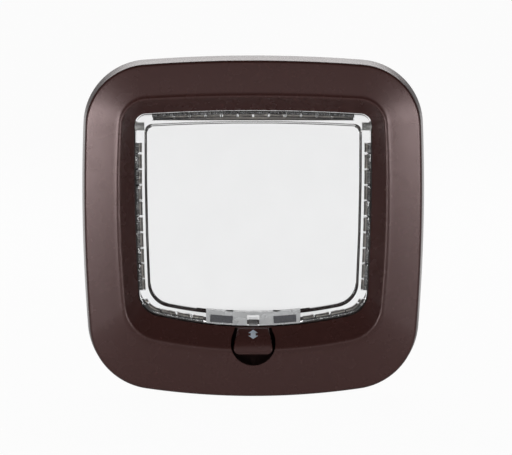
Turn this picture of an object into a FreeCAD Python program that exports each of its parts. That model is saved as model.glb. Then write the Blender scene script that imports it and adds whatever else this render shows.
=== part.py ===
import FreeCAD, Part
import math
import os

from FreeCAD import Vector

# Cat flap for a door, in millimetres.
# X runs to the right as seen from outside, Y into the door, Z up.
# The origin is the middle of the door's cut-out, on the face that the front frame lies against.

# Door that the flap is fitted in
door_thickness = 28.0

# Opening that the flap closes, with the bow of each side and its corners
opening_half_width = 83.0
opening_top = 83.0
opening_bottom = -69.8
opening_widest_z = 50.0
opening_side_radius = 1900.0
opening_top_radius = 1190.0
opening_bottom_radius = 293.0
opening_top_corner = 8.6
opening_bottom_corner = 17.0

# Width of the trim around the opening, and the bow and corners of its outer edge
band_side = 36.8
band_top = 37.2
band_bottom = 50.2
frame_widest_z = 23.0
frame_side_radius = 1230.0
frame_top_radius = 1000.0
frame_bottom_radius = 520.0
frame_top_corner = 46.0
frame_bottom_corner = 48.0

# Crest that stands around the opening
crest_side_width = 10.2
crest_top_width = 10.7
crest_bottom_width = 14.8
crest_widest_z = 23.0
crest_side_radius = 816.0
crest_top_radius = 1280.0
crest_bottom_radius = 342.0
crest_top_corner = 18.5
crest_bottom_corner = 26.0

# Front frame in depth
front_wall_depth = 18.0
front_crest_depth = 22.6
front_lip_depth = 12.0
front_draft = 2.0
front_wall = 2.6
groove_start = 1.0
groove_width = 8.0
front_crest_round = 3.6
front_edge_round = 2.6
front_sleeve_wall = 2.3
front_sleeve_reach = 24.0

# Rear frame in depth
rear_inset = 5.0
rear_depth = 8.0
rear_draft = 0.8
rear_wall = 2.4
rear_edge_round = 2.6
rear_lip_round = 2.2
rear_sleeve_wall = 2.0
rear_sleeve_reach = 20.0
sleeve_clearance = 0.4

# Steps in which a soft edge of each frame turns
front_facets = 3
rear_facets = 2

# Stiffening ribs inside both frames
rib_thickness = 1.6
rib_pitch = 60.0
rib_setback = 1.0

# Flap
flap_gap = 1.0
flap_mid_y = -7.5
rim_thickness = 7.0
pane_thickness = 3.0
rim_width_side = 8.5
rim_width_top = 9.5
rim_width_bottom = 9.4
rim_edge_bevel = 0.5
pane_top_corner = 3.0
pane_bottom_corner = 15.0
bevel_width = 2.4
corner_block_width = 11.5
corner_block_height = 22.0

# Brush channel in the flap's rim
channel_depth = 4.4
channel_width = 4.0
pip_pitch = 11.1
pip_width = 0.9
brush_end_z = -44.0
lug_height = 6.0
brush_spine_depth = 2.2
brush_pile_width = 2.4
brush_tip_gap = 0.45
brush_end_gap = 0.3
brush_end_wall = 1.4
pip_height = 0.3

# Hinge at the flap's top corners
hinge_drop = 11.7
pin_diameter = 3.0
pin_length = 13.0
pin_reach_in_flap = 5.2
bush_diameter = 5.6
bush_length = 5.6
bush_flange_diameter = 7.6
bush_flange = 0.7
bush_seat = 0.3
pin_fit = 0.05
pin_boss_diameter = 8.0

# Magnet carrier at the foot of the flap
carrier_half_width = 33.0
carrier_height = 9.4
carrier_thickness = 8.0
magnet_end_wall = 2.5
magnet_length = 15.8
magnet_height = 5.0
magnet_thickness = 4.0
magnet_fit = 0.1
magnet_floor = 1.3
magnet_recess = 0.4
magnet_pad_wall = 1.3
clip_width = 5.0
clip_height = 1.0
clip_thickness = 1.6

# Lock: a knob in front, a sliding bolt behind, and a cover that keeps it in
lock_travel = 5.5
bolt_half_width = 2.6
bolt_thickness = 3.4
bolt_clearance = 0.4
bolt_start_below_floor = 0.5
slot_half_width = 3.1
slot_height = 6.0
slot_thickness = 4.6
keeper_side_wall = 1.2
keeper_roof = 1.4
slide_half_width = 8.0
slide_bottom = -97.5
slide_fit = 0.1
rail_width = 2.2
bolt_corner = 1.0
stem_half_width = 3.2
stem_height = 5.5
stem_bottom = -85.0
stem_socket = 6.0
knob_top = -70.2
knob_bottom = -88.2
knob_top_half_width = 10.9
knob_bottom_half_width = 14.9
knob_wall = 1.8
knob_proud = 2.6
knob_break_z = -78.0
knob_break_drop = 1.6
knob_back_gap = 0.4
knob_corner = 5.0
knob_foot_radius = 4.2
pocket_radius = 15.6
pocket_centre_z = -80.2
pocket_top_half_width = 12.6
pocket_wall = 2.4
stop_z = -86.0
stop_length = 4.0
stop_width = 4.0
stop_height = 0.6
stop_groove = 0.9
stop_end_gap = 0.3
cover_thickness = 2.4
cover_top = -75.0
cover_bottom = -99.5
cover_corner = 1.5
peg_x = 14.0
peg_z = -92.0
peg_diameter = 2.6
peg_length = 6.0
peg_end_gap = 0.5
peg_boss_diameter = 6.4

# Screws that clamp the two frames to the door
screw_rise_top = 6.0
screw_drop_bottom = 17.2
screw_diameter = 4.0
screw_head_diameter = 7.6
screw_head_height = 2.8
screw_bite = 10.0
screw_clearance = 0.3
screw_seat = 2.6
boss_diameter = 9.0
boss_setback = 0.3
head_clearance = 0.4
drive_slot_width = 1.2
drive_slot_depth = 1.3
rear_boss_wall = 1.6

# Length by which a cutting solid runs past the face that it opens
overrun = 5.0

# Places that follow from the sizes above
rear_y = door_thickness
frame_half_width = opening_half_width + band_side
frame_top = opening_top + band_top
frame_bottom = opening_bottom - band_bottom
hinge_z = opening_top - hinge_drop
rim_front_y = flap_mid_y - rim_thickness / 2
pocket_floor_y = -front_lip_depth
slide_front_y = flap_mid_y - bolt_thickness / 2
slide_back_y = flap_mid_y + bolt_thickness / 2
guide_front_y = slide_front_y - slide_fit
guide_back_y = slide_back_y + slide_fit
floor_under_z = opening_bottom - front_sleeve_wall
shoulder_z = floor_under_z - lock_travel - bolt_clearance
carrier_front_y = flap_mid_y - carrier_thickness / 2
carrier_back_y = flap_mid_y + carrier_thickness / 2
flap_magnet_y = carrier_front_y + magnet_recess
sill_magnet_y = flap_mid_y - magnet_thickness / 2
magnet_x = carrier_half_width - magnet_end_wall - magnet_length / 2
keeper_half_width = slot_half_width + keeper_side_wall
keeper_height = slot_height + keeper_roof


class Outline:
    """Closed curve of eight arcs, mirrored about X = 0: four long sides and four corners."""

    def __init__(self, half_width, widest_z, side_radius, top, top_radius,
                 bottom, bottom_radius, top_corner, bottom_corner):
        self.half_width = half_width
        self.widest_z = widest_z
        self.side_radius = side_radius
        self.top = top
        self.top_radius = top_radius
        self.bottom = bottom
        self.bottom_radius = bottom_radius
        self.top_corner = top_corner
        self.bottom_corner = bottom_corner

    def grown(self, by):
        """Same centres, with every arc moved outwards by the same amount."""
        return Outline(self.half_width + by, self.widest_z, self.side_radius + by,
                       self.top + by, self.top_radius + by,
                       self.bottom - by, self.bottom_radius + by,
                       self.top_corner + by, self.bottom_corner + by)

    def side_centre(self):
        return Vector(self.half_width - self.side_radius, 0, self.widest_z)

    def top_centre(self):
        return Vector(0, 0, self.top - self.top_radius)

    def bottom_centre(self):
        return Vector(0, 0, self.bottom + self.bottom_radius)

    def side_x(self, z):
        """Half width of the outline at a height between its corners."""
        rise = z - self.widest_z
        return self.half_width - self.side_radius + math.sqrt(self.side_radius ** 2 - rise ** 2)

    def corner_centre(self, end_centre, end_radius, corner, upwards):
        """Centre of a corner arc that is tangent to the side and to the top or bottom."""
        side = self.side_centre()
        reach_side = self.side_radius - corner
        reach_end = end_radius - corner
        line = end_centre - side
        distance = line.Length
        along = (reach_side ** 2 - reach_end ** 2 + distance ** 2) / (2 * distance)
        across = math.sqrt(reach_side ** 2 - along ** 2)
        line.normalize()
        foot = side + line * along
        normal = Vector(line.z, 0, -line.x)
        options = [foot + normal * across, foot - normal * across]
        return max(options, key=lambda point: point.z * upwards)

    def arcs(self, y):
        """The eight arcs in the plane Y = y, each as (centre, radius, start, end)."""
        side = self.side_centre()
        top = self.top_centre()
        bottom = self.bottom_centre()
        high = self.corner_centre(top, self.top_radius, self.top_corner, 1)
        low = self.corner_centre(bottom, self.bottom_radius, self.bottom_corner, -1)
        top_end = top + (high - top).normalize() * self.top_radius
        side_start = side + (high - side).normalize() * self.side_radius
        side_end = side + (low - side).normalize() * self.side_radius
        bottom_start = bottom + (low - bottom).normalize() * self.bottom_radius

        def flip(point):
            return Vector(-point.x, 0, point.z)

        half = [
            (high, self.top_corner, top_end, side_start),
            (side, self.side_radius, side_start, side_end),
            (low, self.bottom_corner, side_end, bottom_start),
        ]
        right = [(top, self.top_radius, flip(top_end), top_end)] + half
        left = [(bottom, self.bottom_radius, bottom_start, flip(bottom_start))]
        for centre, radius, start, end in reversed(half):
            left.append((flip(centre), radius, flip(end), flip(start)))
        lift = Vector(0, y, 0)
        return [(centre + lift, radius, start + lift, end + lift)
                for centre, radius, start, end in right + left]

    def wire(self, y):
        """The outline as a wire in the plane Y = y."""
        edges = []
        for centre, radius, start, end in self.arcs(y):
            middle = centre + ((start + end) * 0.5 - centre).normalize() * radius
            edges.append(Part.Arc(start, middle, end).toShape())
        return Part.Wire(edges)

    def prism(self, y0, y1):
        """Solid with this outline between two planes."""
        return Part.Face(self.wire(y0)).extrude(Vector(0, y1 - y0, 0))


def blend(first, second, share):
    """Outline and depth part of the way from one (outline, y) to another."""
    sizes = []
    for one, other in zip(vars(first[0]).values(), vars(second[0]).values()):
        sizes.append(one + (other - one) * share)
    return Outline(*sizes), first[1] + (second[1] - first[1]) * share


def soft_corner(before, corner, after, facets):
    """Sections that turn softly from one side of a corner to the other."""
    sections = []
    for step in range(facets + 1):
        share = step / facets
        sections.append(blend(blend(before, corner, share), blend(corner, after, share), share))
    return sections


def strips(sections):
    """Faces that run through outlines given as (outline, y)."""
    wires = [outline.wire(y) for outline, y in sections]
    return Part.makeLoft(wires, False, True).Faces


def flat_ring(outer, inner, y):
    """Flat faces between two outlines in the plane Y = y."""
    return Part.Face(outer.wire(y)).cut(Part.Face(inner.wire(y))).Faces


def closed_solid(faces):
    """Solid from faces that meet edge to edge."""
    shell = Part.Shell(faces)
    shell.sewShape()
    solid = Part.Solid(shell)
    if solid.Volume < 0:
        solid.reverse()
    return solid


def ruled(sections):
    """Solid with straight sides through outlines given as (outline, y)."""
    wires = [outline.wire(y) for outline, y in sections]
    return Part.makeLoft(wires, True, True)


def box(x0, x1, y0, y1, z0, z1):
    return Part.makeBox(x1 - x0, y1 - y0, z1 - z0, Vector(x0, y0, z0))


def rod(diameter, start, direction, length):
    return Part.makeCylinder(diameter / 2, length, start, direction)


def one_solid(shape):
    """The single sound solid of a shape, with faces merged where they continue."""
    clean = shape.removeSplitter()
    if len(clean.Solids) != 1 or not clean.isValid():
        raise ValueError("expected one sound solid, found %d" % len(clean.Solids))
    return clean.Solids[0]


base = Outline(frame_half_width, frame_widest_z, frame_side_radius,
               frame_top, frame_top_radius, frame_bottom, frame_bottom_radius,
               frame_top_corner, frame_bottom_corner)
opening = Outline(opening_half_width, opening_widest_z, opening_side_radius,
                  opening_top, opening_top_radius, opening_bottom, opening_bottom_radius,
                  opening_top_corner, opening_bottom_corner)
crest = Outline(opening_half_width + crest_side_width, crest_widest_z, crest_side_radius,
                opening_top + crest_top_width, crest_top_radius,
                opening_bottom - crest_bottom_width, crest_bottom_radius,
                crest_top_corner, crest_bottom_corner)
flap_outline = opening.grown(-flap_gap)
pane_outline = Outline(flap_outline.half_width - rim_width_side, opening_widest_z,
                       opening_side_radius, flap_outline.top - rim_width_top,
                       opening_top_radius, flap_outline.bottom + rim_width_bottom,
                       opening_bottom_radius, pane_top_corner, pane_bottom_corner)


def cylinder_x(diameter, x0, x1, y, z):
    """Round bar along X between two places."""
    return rod(diameter, Vector(x0, y, z), Vector(1, 0, 0), x1 - x0)


def cylinder_y(diameter, x, z, y0, y1):
    """Round bar along Y between two places."""
    return rod(diameter, Vector(x, y0, z), Vector(0, 1, 0), y1 - y0)


def plate(points, y0, y1):
    """Flat plate in an XZ plane from its corner points."""
    corners = [Vector(x, y0, z) for x, z in points]
    return Part.Face(Part.makePolygon(corners + corners[:1])).extrude(Vector(0, y1 - y0, 0))


def about_floor_arc(shape, x):
    """Turn a shape made at X = 0 along the bowed sill until its middle lies at x."""
    centre = opening.bottom_centre()
    angle = math.degrees(math.asin(x / opening_bottom_radius))
    turned = shape.copy()
    turned.rotate(centre, Vector(0, 1, 0), -angle)
    return turned


def pocket_outline(grown):
    """Corner points and arc of the pocket around the lock knob, as a face at Y = 0."""
    radius = pocket_radius + grown
    shoulder = Vector(pocket_top_half_width + grown, 0, opening_bottom)
    centre = Vector(0, 0, pocket_centre_z)
    line = shoulder - centre
    swing = math.acos(radius / line.Length)
    heading = math.atan2(line.z, line.x) - swing
    touch = centre + Vector(math.cos(heading), 0, math.sin(heading)) * radius
    foot = centre - Vector(0, 0, radius)
    top = Vector(shoulder.x, 0, opening_bottom + overrun)
    bowl = Part.Arc(touch, foot, Vector(-touch.x, 0, touch.z)).toShape()
    left = [Vector(-point.x, 0, point.z) for point in (touch, shoulder, top)]
    sides = Part.makePolygon(left + [top, shoulder, touch])
    return Part.Face(Part.Wire([bowl] + sides.Edges))


def screw_places():
    """Middle of each of the four screws that join the frames."""
    places = []
    screw_x = opening_half_width + band_side / 2
    for z in (opening_top + screw_rise_top, opening_bottom - screw_drop_bottom):
        for x in (-screw_x, screw_x):
            places.append((x, z))
    return places


def stiffening_plates(back_y, outward, clear_half_width):
    """Ribs across the hollow of a frame, with two more through each screw boss."""
    start = back_y + outward * rib_setback
    end = back_y + outward * (front_crest_depth + overrun)
    y0, y1 = min(start, end), max(start, end)
    half = rib_thickness / 2
    reach = frame_half_width + overrun
    inner_x = opening_half_width / 2
    plates = []
    steps = int((opening_half_width - rib_pitch / 2) / rib_pitch)
    for step in range(-steps - 1, steps + 1):
        place = (step + 0.5) * rib_pitch
        plates.append(box(place - half, place + half, y0, y1, 0, frame_top + overrun))
        if abs(place) > clear_half_width:
            plates.append(box(place - half, place + half, y0, y1, frame_bottom - overrun, 0))
        for side in (-1, 1):
            x0, x1 = sorted((side * inner_x, side * reach))
            plates.append(box(x0, x1, y0, y1, place - half, place + half))
    for x, z in screw_places():
        side = math.copysign(1, x)
        level = math.copysign(1, z)
        x0, x1 = sorted((side * opening_half_width, side * reach))
        z0, z1 = sorted((z, level * (frame_top + overrun)))
        plates.append(box(x0, x1, y0, y1, z - half, z + half))
        plates.append(box(x - half, x + half, y0, y1, z0, z1))
    return plates


def ring_solid(show_faces, outline, inside, sleeve, back_y, sleeve_y):
    """Trim ring closed behind its show faces by a flat back and a sleeve through the door."""
    faces = show_faces + flat_ring(outline, sleeve, back_y)
    faces += strips([(sleeve, back_y), (sleeve, sleeve_y)])
    faces += flat_ring(sleeve, inside, sleeve_y)
    return closed_solid(faces)


def make_front_ring():
    """Outside of the front frame: tapered wall, face that rises to the crest, slope and lip."""
    face = base.grown(-front_draft)
    face_width = crest_side_width + base.half_width - crest.half_width
    slope_length = math.hypot(front_crest_depth - front_lip_depth, crest_side_width)
    back = (base, 0)
    edge = (face, -front_wall_depth)
    top = (crest, -front_crest_depth)
    lip = (opening, -front_lip_depth)
    sections = [back]
    sections += soft_corner(blend(edge, back, front_edge_round / front_wall_depth), edge,
                            blend(edge, top, front_edge_round / face_width), front_facets)
    sections += soft_corner(blend(top, edge, front_crest_round / face_width), top,
                            blend(top, lip, front_crest_round / slope_length), front_facets)
    sections += [lip, (opening, front_sleeve_reach)]
    return ring_solid(strips(sections), base, opening, opening.grown(front_sleeve_wall),
                      0, front_sleeve_reach)


def make_front_hollow():
    """Hollow behind the front frame: flat behind the face, with a groove behind the crest."""
    ceiling_y = front_wall - front_wall_depth
    groove_y = 1.5 * front_wall - front_crest_depth
    sleeve = opening.grown(front_sleeve_wall)
    lip_y = 0.5 * front_wall - front_lip_depth
    slope_end = blend((crest, 0), (opening, 0), front_wall / (front_crest_depth - front_wall_depth
                                                              + front_wall))[0]
    hollow = ruled([(base.grown(-front_wall), overrun), (base.grown(-front_wall), 0),
                    (base.grown(-front_draft - front_wall), ceiling_y)])
    hollow = hollow.cut(ruled([(sleeve, overrun), (sleeve, lip_y), (slope_end, ceiling_y)]))
    groove = crest.grown(groove_start + groove_width).prism(groove_y, ceiling_y + 1)
    groove = groove.cut(crest.grown(groove_start).prism(groove_y - 1, ceiling_y + 2))
    return hollow.fuse(groove)


def make_rear_ring():
    """Outside of the rear frame: low tapered wall, flat face and softly turned edges."""
    outline = base.grown(-rear_inset)
    inside = opening.grown(front_sleeve_wall + sleeve_clearance)
    face = outline.grown(-rear_draft)
    face_y = rear_y + rear_depth
    edge = (face, face_y)
    face_start = face.grown(-rear_edge_round)
    face_end = inside.grown(rear_lip_round)
    wall_end = blend(edge, (outline, rear_y), rear_edge_round / rear_depth)
    show = strips([(outline, rear_y)]
                  + soft_corner(wall_end, edge, (face_start, face_y), rear_facets))
    show += flat_ring(face_start, face_end, face_y)
    show += strips(soft_corner((face_end, face_y), (inside, face_y),
                               (inside, face_y - rear_lip_round), rear_facets)
                   + [(inside, rear_y - rear_sleeve_reach)])
    return ring_solid(show, outline, inside, inside.grown(rear_sleeve_wall),
                      rear_y, rear_y - rear_sleeve_reach)


def make_rear_hollow():
    """Hollow behind the rear frame's face."""
    outline = base.grown(-rear_inset - rear_wall)
    face = outline.grown(-rear_draft)
    face_y = rear_y + rear_depth - rear_wall
    sleeve = opening.grown(front_sleeve_wall + sleeve_clearance + rear_sleeve_wall)
    hollow = ruled([(outline, rear_y - overrun), (outline, rear_y), (face, face_y)])
    return hollow.cut(sleeve.prism(rear_y - overrun, face_y + 1))


def magnet_block(grown, y0, y1, gap_below_floor):
    """Block at X = 0 for a magnet that lies under the sill, grown on its ends and underside."""
    top = opening_bottom - gap_below_floor
    half = magnet_length / 2 + grown
    return box(-half, half, y0, y1, top - magnet_height - grown, top)


def make_front_frame():
    """Outer trim with its sleeve, hinge bosses, lock pocket, magnet seats and screw bosses."""
    deep_y = -front_crest_depth - overrun
    kept = stiffening_plates(0, -1, peg_x + peg_boss_diameter / 2 + rib_thickness)
    for x, z in screw_places():
        kept.append(cylinder_y(boss_diameter, x, z, deep_y, -boss_setback))
    hinge_x = opening.side_x(hinge_z)
    boss_end = hinge_x - flap_gap - pin_reach_in_flap + pin_length
    for side in (-1, 1):
        x0, x1 = sorted((side * opening_half_width, side * boss_end))
        kept.append(cylinder_x(pin_boss_diameter, x0, x1, flap_mid_y, hinge_z))
        rail = sorted((side * (slide_half_width + slide_fit),
                       side * (slide_half_width + slide_fit + rail_width)))
        kept.append(box(rail[0], rail[1], deep_y, guide_back_y, cover_bottom, opening_bottom))
        kept.append(cylinder_y(peg_boss_diameter, side * peg_x, peg_z, deep_y, guide_back_y))
        seat = magnet_block(magnet_pad_wall, deep_y, sill_magnet_y + magnet_thickness,
                            magnet_floor)
        kept.append(about_floor_arc(seat, side * magnet_x))
    pocket_block = pocket_outline(pocket_wall).extrude(Vector(0, -deep_y, 0))
    pocket_block.translate(Vector(0, deep_y, 0))
    kept.append(pocket_block.common(box(-frame_half_width, frame_half_width,
                                        deep_y, guide_front_y, frame_bottom, frame_top)))

    shell = make_front_ring().cut(make_front_hollow().cut(kept))

    cuts = []
    pocket = pocket_outline(0).extrude(Vector(0, pocket_floor_y - deep_y, 0))
    pocket.translate(Vector(0, deep_y, 0))
    cuts.append(pocket)
    stem_gap = stem_half_width + bolt_clearance
    cuts.append(box(-stem_gap, stem_gap, pocket_floor_y - 1, guide_front_y + 1,
                    stem_bottom - bolt_clearance,
                    stem_bottom + stem_height + lock_travel + bolt_clearance))
    bolt_gap = bolt_half_width + bolt_clearance
    half_thick = bolt_thickness / 2 + slide_fit
    cuts.append(box(-bolt_gap, bolt_gap, flap_mid_y - half_thick, flap_mid_y + half_thick,
                    floor_under_z - 1, opening_bottom + 1))
    for side in (-1, 1):
        x0, x1 = sorted((side * (opening_half_width - flap_gap), side * (boss_end + 1)))
        cuts.append(cylinder_x(pin_diameter, x0, x1, flap_mid_y, hinge_z))
        seat = magnet_block(0, sill_magnet_y, sill_magnet_y + magnet_thickness + overrun,
                            magnet_floor)
        cuts.append(about_floor_arc(seat, side * magnet_x))
        cuts.append(cylinder_y(peg_diameter, side * peg_x, peg_z,
                               guide_back_y - peg_length - peg_end_gap, guide_back_y + 1))
    for x, z in screw_places():
        cuts.append(cylinder_y(screw_diameter, x, z, -screw_bite - screw_clearance, 0))
    return one_solid(shell.cut(cuts))


def make_rear_frame():
    """Inner trim: its sleeve slides over the front frame's, and its bosses carry the screws."""
    far_y = rear_y + rear_depth + overrun
    seat_y = rear_y + screw_seat
    bore = screw_head_diameter + 2 * head_clearance
    kept = stiffening_plates(rear_y, 1, 0)
    for x, z in screw_places():
        kept.append(cylinder_y(bore + 2 * rear_boss_wall, x, z, rear_y + boss_setback, far_y))
    shell = make_rear_ring().cut(make_rear_hollow().cut(kept))
    cuts = []
    for x, z in screw_places():
        hole = screw_diameter + 2 * screw_clearance
        cuts.append(cylinder_y(hole, x, z, rear_y, seat_y))
        cuts.append(cylinder_y(bore, x, z, seat_y, far_y))
    return one_solid(shell.cut(cuts))


def channel_zones():
    """Where the flap's rim has its brush channels, by the name of the brush that lies there."""
    wide = frame_half_width
    block_x = flap_outline.half_width - corner_block_width
    block_z = flap_outline.top - corner_block_height
    side_x = flap_outline.half_width - rim_width_side - bevel_width - pane_bottom_corner
    low_z = brush_end_z - lug_height
    start_x = carrier_half_width + brush_end_wall
    y0, y1 = -wide, wide
    return {
        "brush_top": box(-block_x, block_x, y0, y1, block_z, wide),
        "brush_left": box(-wide, -side_x, y0, y1, brush_end_z, block_z),
        "brush_right": box(side_x, wide, y0, y1, brush_end_z, block_z),
        "brush_bottom_left": box(-wide, -start_x, y0, y1, -wide, low_z),
        "brush_bottom_right": box(start_x, wide, y0, y1, -wide, low_z),
    }


def channel_pips():
    """Small ribs across the channel's front lip that pinch the brush at a steady pitch."""
    half = pip_width / 2
    far = frame_half_width
    y0 = flap_mid_y - channel_width / 2
    y1 = y0 + pip_height
    middle_z = (flap_outline.top - corner_block_height + brush_end_z) / 2
    count_top = int((flap_outline.half_width - corner_block_width) / pip_pitch)
    count_side = int((flap_outline.top - corner_block_height - middle_z) / pip_pitch)
    pips = []
    for step in range(-count_top, count_top + 1):
        x = step * pip_pitch
        pips.append(box(x - half, x + half, y0, y1, 0, far))
    for step in range(-count_side, count_side + 1):
        z = middle_z + step * pip_pitch
        pips.append(box(-far, far, y0, y1, z - half, z + half))
    for side in (-1, 1):
        for step in (1, 2):
            x = side * (carrier_half_width + step * pip_pitch)
            pips.append(about_floor_arc(box(-half, half, y0, y1, -far, 0), x))
    return pips


def rim_ring(outer_gap, depth, half_thickness):
    """Ring that follows the flap's edge, from a gap off the opening down to a depth in the rim."""
    y0, y1 = flap_mid_y - half_thickness, flap_mid_y + half_thickness
    outer = opening.grown(-outer_gap).prism(y0, y1)
    return outer.cut(flap_outline.grown(-depth).prism(y0 - 1, y1 + 1))


def foot_block(half_width, gap_below, thickness, height):
    """Block along the bowed foot of the flap, between two upright ends."""
    y0, y1 = flap_mid_y - thickness / 2, flap_mid_y + thickness / 2
    low = flap_outline.grown(-gap_below)
    band = low.prism(y0, y1).cut(flap_outline.grown(-height).prism(y0 - 1, y1 + 1))
    return band.common(box(-half_width, half_width, y0, y1, frame_bottom, 0))


def carrier_clips():
    """Two tongues on the magnet carrier that hold it in the flap's foot."""
    clips = []
    top = flap_outline.bottom + carrier_height + clip_height
    for side in (-1, 1):
        x = side * carrier_half_width / 2
        half = clip_width / 2
        y0, y1 = flap_mid_y - clip_thickness / 2, flap_mid_y + clip_thickness / 2
        clips.append(box(x - half, x + half, y0, y1, top - 2 * clip_height, top))
    return clips


def make_flap_panel():
    """Clear panel: pane, bevel, thick rim with brush channels, and the two hinge corners."""
    back_y = rim_front_y + rim_thickness
    drawn_in = flap_outline.grown(-rim_edge_bevel)
    panel = ruled([(drawn_in, rim_front_y), (flap_outline, rim_front_y + rim_edge_bevel),
                   (flap_outline, back_y - rim_edge_bevel), (drawn_in, back_y)])
    bevel = pane_outline.grown(bevel_width)
    half_pane = pane_thickness / 2
    for sign in (-1, 1):
        face_y = flap_mid_y + sign * rim_thickness / 2
        panel = panel.cut(ruled([(bevel, face_y + sign * overrun), (bevel, face_y),
                                 (pane_outline, flap_mid_y + sign * half_pane)]))
    ring = rim_ring(0, channel_depth, channel_width / 2)
    ring = ring.cut(channel_pips())
    channels = [ring.common(zone) for zone in channel_zones().values()]
    cuts = channels + [foot_block(carrier_half_width, -1, rim_thickness + 2, carrier_height)]
    cuts += carrier_clips()
    edge_x = flap_outline.side_x(hinge_z)
    for side in (-1, 1):
        x0, x1 = sorted((side * (edge_x - bush_seat), side * (edge_x + overrun)))
        cuts.append(cylinder_x(bush_flange_diameter + 2 * bush_seat, x0, x1,
                               flap_mid_y, hinge_z))
        x0, x1 = sorted((side * (edge_x - bush_seat - bush_length), side * edge_x))
        cuts.append(cylinder_x(bush_diameter, x0, x1, flap_mid_y, hinge_z))
    return one_solid(panel.cut(cuts))


def make_magnet_carrier():
    """Block in the flap's foot with two magnet pockets and a notch for the keeper."""
    block = foot_block(carrier_half_width, 0, carrier_thickness, carrier_height)
    block = block.fuse(carrier_clips())
    cuts = [foot_block(keeper_half_width, -1, carrier_thickness + 2, keeper_height)]
    for side in (-1, 1):
        half = magnet_length / 2 + magnet_fit
        low = flap_outline.bottom + magnet_floor
        pocket = box(-half, half, carrier_front_y - 1, flap_magnet_y + magnet_thickness,
                     low - magnet_fit, low + magnet_height + magnet_fit)
        cuts.append(about_floor_arc(pocket, side * magnet_x))
    return one_solid(block.cut(cuts))


def make_lock_keeper():
    """Keeper in the middle of the carrier, with the slot that the bolt rises into."""
    block = foot_block(keeper_half_width, 0, carrier_thickness, keeper_height)
    slot_top = flap_outline.bottom + slot_height
    return one_solid(block.cut(box(-slot_half_width, slot_half_width,
                                   flap_mid_y - slot_thickness / 2,
                                   flap_mid_y + slot_thickness / 2, frame_bottom, slot_top)))


def make_brushes():
    """Pile strips in the rim's channels: a spine on the channel's floor and a thinner pile."""
    spine_outer = flap_gap + channel_depth - brush_spine_depth
    spine = rim_ring(spine_outer, channel_depth, channel_width / 2 - pip_height)
    pile = rim_ring(brush_tip_gap, channel_depth, brush_pile_width / 2)
    strip = spine.fuse(pile)
    brushes = {}
    for name, zone in channel_zones().items():
        bounds = zone.BoundBox
        ends = box(bounds.XMin + brush_end_gap, bounds.XMax - brush_end_gap,
                   bounds.YMin, bounds.YMax,
                   bounds.ZMin + brush_end_gap, bounds.ZMax - brush_end_gap)
        brushes[name] = one_solid(strip.common(ends))
    return brushes


def make_flap_magnet(side):
    low = flap_outline.bottom + magnet_floor
    half = magnet_length / 2
    bar = box(-half, half, flap_magnet_y, flap_magnet_y + magnet_thickness,
              low, low + magnet_height)
    return about_floor_arc(bar, side * magnet_x)


def make_sill_magnet(side):
    bar = magnet_block(0, sill_magnet_y, sill_magnet_y + magnet_thickness, magnet_floor)
    return about_floor_arc(bar, side * magnet_x)


def make_hinge_pin(side):
    """Steel pin pressed into the front frame, with its end in the flap's corner."""
    inner = opening.side_x(hinge_z) - flap_gap - pin_reach_in_flap
    x0, x1 = sorted((side * inner, side * (inner + pin_length)))
    return cylinder_x(pin_diameter, x0, x1, flap_mid_y, hinge_z)


def make_hinge_bush(side):
    """Flanged bush pressed into the flap's corner, running on the pin."""
    seat = flap_outline.side_x(hinge_z) - bush_seat
    x0, x1 = sorted((side * (seat - bush_length), side * seat))
    bush = cylinder_x(bush_diameter, x0, x1, flap_mid_y, hinge_z)
    x2, x3 = sorted((side * seat, side * (seat + bush_flange)))
    bush = bush.fuse(cylinder_x(bush_flange_diameter, x2, x3, flap_mid_y, hinge_z))
    bore = cylinder_x(pin_diameter + 2 * pin_fit, min(x0, x2) - 1, max(x1, x3) + 1,
                      flap_mid_y, hinge_z)
    return one_solid(bush.cut(bore))


def make_lock_slide():
    """Bolt plate with its nose, the stem that carries the knob, and the stop groove."""
    y0, y1 = slide_front_y, slide_back_y
    tip = opening_bottom - bolt_start_below_floor
    slide = box(-slide_half_width, slide_half_width, y0, y1, slide_bottom, shoulder_z)
    slide = slide.fuse(box(-bolt_half_width, bolt_half_width, y0, y1, shoulder_z - 1, tip))
    slide = slide.makeFillet(bolt_corner, [edge for edge in slide.Edges
                                           if edge.BoundBox.YLength > bolt_thickness - 0.1
                                           and abs(edge.BoundBox.ZMax - tip) < 0.01])
    stem_front = pocket_floor_y - knob_back_gap - stem_socket
    slide = slide.fuse(box(-stem_half_width, stem_half_width, stem_front, y0 + 1,
                           stem_bottom, stem_bottom + stem_height))
    groove_low = stop_z - lock_travel - stop_end_gap
    groove_high = stop_z + stop_length + stop_end_gap
    half = stop_width / 2 + stop_end_gap
    slide = slide.cut(box(-half, half, y1 - stop_groove, y1 + 1, groove_low, groove_high))
    return one_solid(slide)


def knob_front_view(inset, y):
    """Outline of the knob seen from the front: wider at its foot, with round lower corners."""
    top_x = knob_top_half_width - inset
    foot_x = knob_bottom_half_width - inset
    low = knob_bottom + inset
    lean = math.atan2(foot_x - top_x, knob_top - low)
    radius = knob_corner - inset
    along = radius * math.tan((math.pi / 2 + lean) / 2)
    corner = Vector(foot_x, y, low)
    upwards = Vector(-math.sin(lean), 0, math.cos(lean))
    start = corner + upwards * along
    end = corner - Vector(along, 0, 0)
    centre = end + Vector(0, 0, radius)
    middle = centre + (corner - centre).normalize() * radius

    def flip(point):
        return Vector(-point.x, y, point.z)

    top = Vector(top_x, y, knob_top + overrun)
    shoulder = Vector(top_x, y, knob_top)
    right = Part.Arc(start, middle, end).toShape()
    left = Part.Arc(flip(end), flip(middle), flip(start)).toShape()
    sides = Part.makePolygon([flip(start), flip(shoulder), flip(top), top, shoulder, start])
    return Part.Wire([right, Part.makeLine(end, flip(end)), left] + sides.Edges)


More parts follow.
